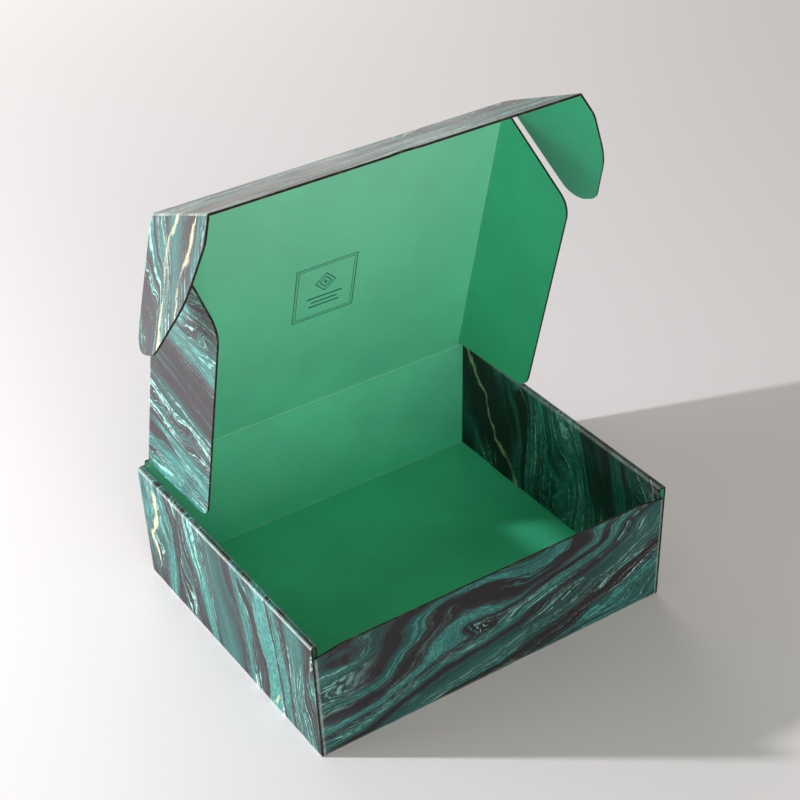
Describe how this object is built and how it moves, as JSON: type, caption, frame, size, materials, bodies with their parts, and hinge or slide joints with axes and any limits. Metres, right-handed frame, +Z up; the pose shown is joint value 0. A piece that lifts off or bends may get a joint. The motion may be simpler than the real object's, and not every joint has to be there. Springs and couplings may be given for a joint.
{
  "type": "corrugated mailer box",
  "caption": "Self-locking folded mailer box of thin corrugated board, with rolled double side walls, a hinged lid with side flaps, a tuck flap and two ears.",
  "frame": {"origin": "centre of the tray's underside, on the surface that the box stands on", "axes": "+Z up, +X to the right seen from the front, +Y from the front wall to the hinge at the back"},
  "size_m": [0.3062, 0.212, 0.3158],
  "materials": {
    "tray_board": "printed marble outside, satin green inside",
    "lid_board": "satin green inside, printed marble outside",
    "tuck_board": "satin green inside, printed marble outside",
    "ear_board": "satin green inside, printed marble outside"
  },
  "bodies": {
    "tray": {"base_tray": "tray_board"},
    "lid": {"lid_panel": "lid_board"},
    "tuck": {"tuck_flap": "tuck_board"},
    "ear_left": {"tuck_ear_left": "ear_board"},
    "ear_right": {"tuck_ear_right": "ear_board"}
  },
  "joints": [
    {"name": "lid_hinge", "type": "hinge", "parent": "tray", "child": "lid", "pos_m": [0, 0.1048, 0.0842], "axis": [-1, 0, 0], "range_deg": [-53, 105]},
    {"name": "tuck_fold", "type": "hinge", "parent": "lid", "child": "tuck", "pos_m": [0, 0.05107, 0.28473], "axis": [-1, 0, 0], "range_deg": [-53, 52]},
    {"name": "left_ear_fold", "type": "hinge", "parent": "tuck", "child": "ear_left", "pos_m": [-0.1213, 0.05107, 0.28473], "axis": [0, 0.9205, -0.3907], "range_deg": [-24, 66]},
    {"name": "right_ear_fold", "type": "hinge", "parent": "tuck", "child": "ear_right", "pos_m": [0.1213, 0.05107, 0.28473], "axis": [0, -0.9205, 0.3907], "range_deg": [-24, 66]}
  ]
}
